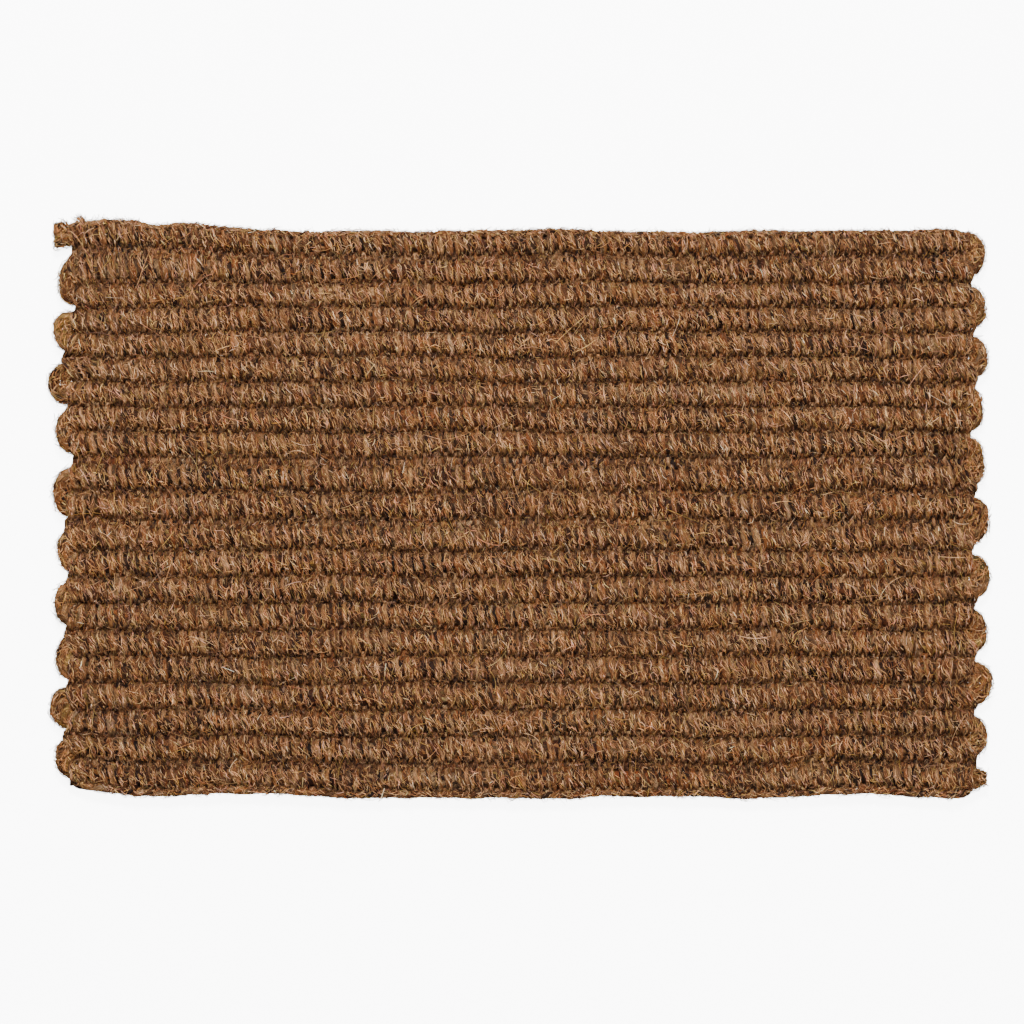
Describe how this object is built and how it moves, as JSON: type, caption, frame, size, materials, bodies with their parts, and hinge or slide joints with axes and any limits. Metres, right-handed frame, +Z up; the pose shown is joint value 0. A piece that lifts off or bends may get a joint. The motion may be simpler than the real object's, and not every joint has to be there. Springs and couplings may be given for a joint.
{
  "type": "door mat",
  "caption": "Thick ribbed door mat woven from brown coir rope and yarn, with bare rope turns along both short sides; lies flat and scrapes shoe soles",
  "frame": {"origin": "middle of the mat's underside, on the floor that it lies on", "axes": "+X along the ribs, the mat's long side; +Y across the ribs, towards the edge where the rope starts; +Z up out of the face"},
  "size_m": [0.8044, 0.4914, 0.022],
  "materials": {
    "coir_face_warp": "coarse twisted coir yarn, matt, light brown with hairy golden and dark fibres",
    "coir_back_warp": "coarse twisted coir yarn, matt, brown, the same yarn as the face",
    "coir_rib_rope": "thick loosely twisted coir bundle, matt, more orange brown where it is bare",
    "coir_binder": "thin twisted coir yarn, matt, dark brown"
  },
  "bodies": {
    "root": {"rib_rope": "coir_rib_rope", "binder_pick_01": "coir_binder", "binder_pick_02": "coir_binder", "binder_pick_03": "coir_binder", "binder_pick_04": "coir_binder", "binder_pick_05": "coir_binder", "binder_pick_06": "coir_binder", "binder_pick_07": "coir_binder", "binder_pick_08": "coir_binder", "binder_pick_09": "coir_binder", "binder_pick_10": "coir_binder", "binder_pick_11": "coir_binder", "binder_pick_12": "coir_binder", "binder_pick_13": "coir_binder", "binder_pick_14": "coir_binder", "binder_pick_15": "coir_binder", "binder_pick_16": "coir_binder", "binder_pick_17": "coir_binder", "binder_pick_18": "coir_binder", "binder_pick_19": "coir_binder", "binder_pick_20": "coir_binder", "binder_pick_21": "coir_binder", "face_warp_band_01": "coir_face_warp", "face_warp_band_02": "coir_face_warp", "face_warp_band_03": "coir_face_warp", "face_warp_band_04": "coir_face_warp", "face_warp_band_05": "coir_face_warp", "face_warp_band_06": "coir_face_warp", "face_warp_band_07": "coir_face_warp", "face_warp_band_08": "coir_face_warp", "face_warp_band_09": "coir_face_warp", "face_warp_band_10": "coir_face_warp", "back_warp_band_01": "coir_back_warp", "back_warp_band_02": "coir_back_warp", "back_warp_band_03": "coir_back_warp", "back_warp_band_04": "coir_back_warp", "back_warp_band_05": "coir_back_warp", "back_warp_band_06": "coir_back_warp", "back_warp_band_07": "coir_back_warp", "back_warp_band_08": "coir_back_warp", "back_warp_band_09": "coir_back_warp", "back_warp_band_10": "coir_back_warp", "back_warp_band_11": "coir_back_warp"}
  },
  "joints": []
}
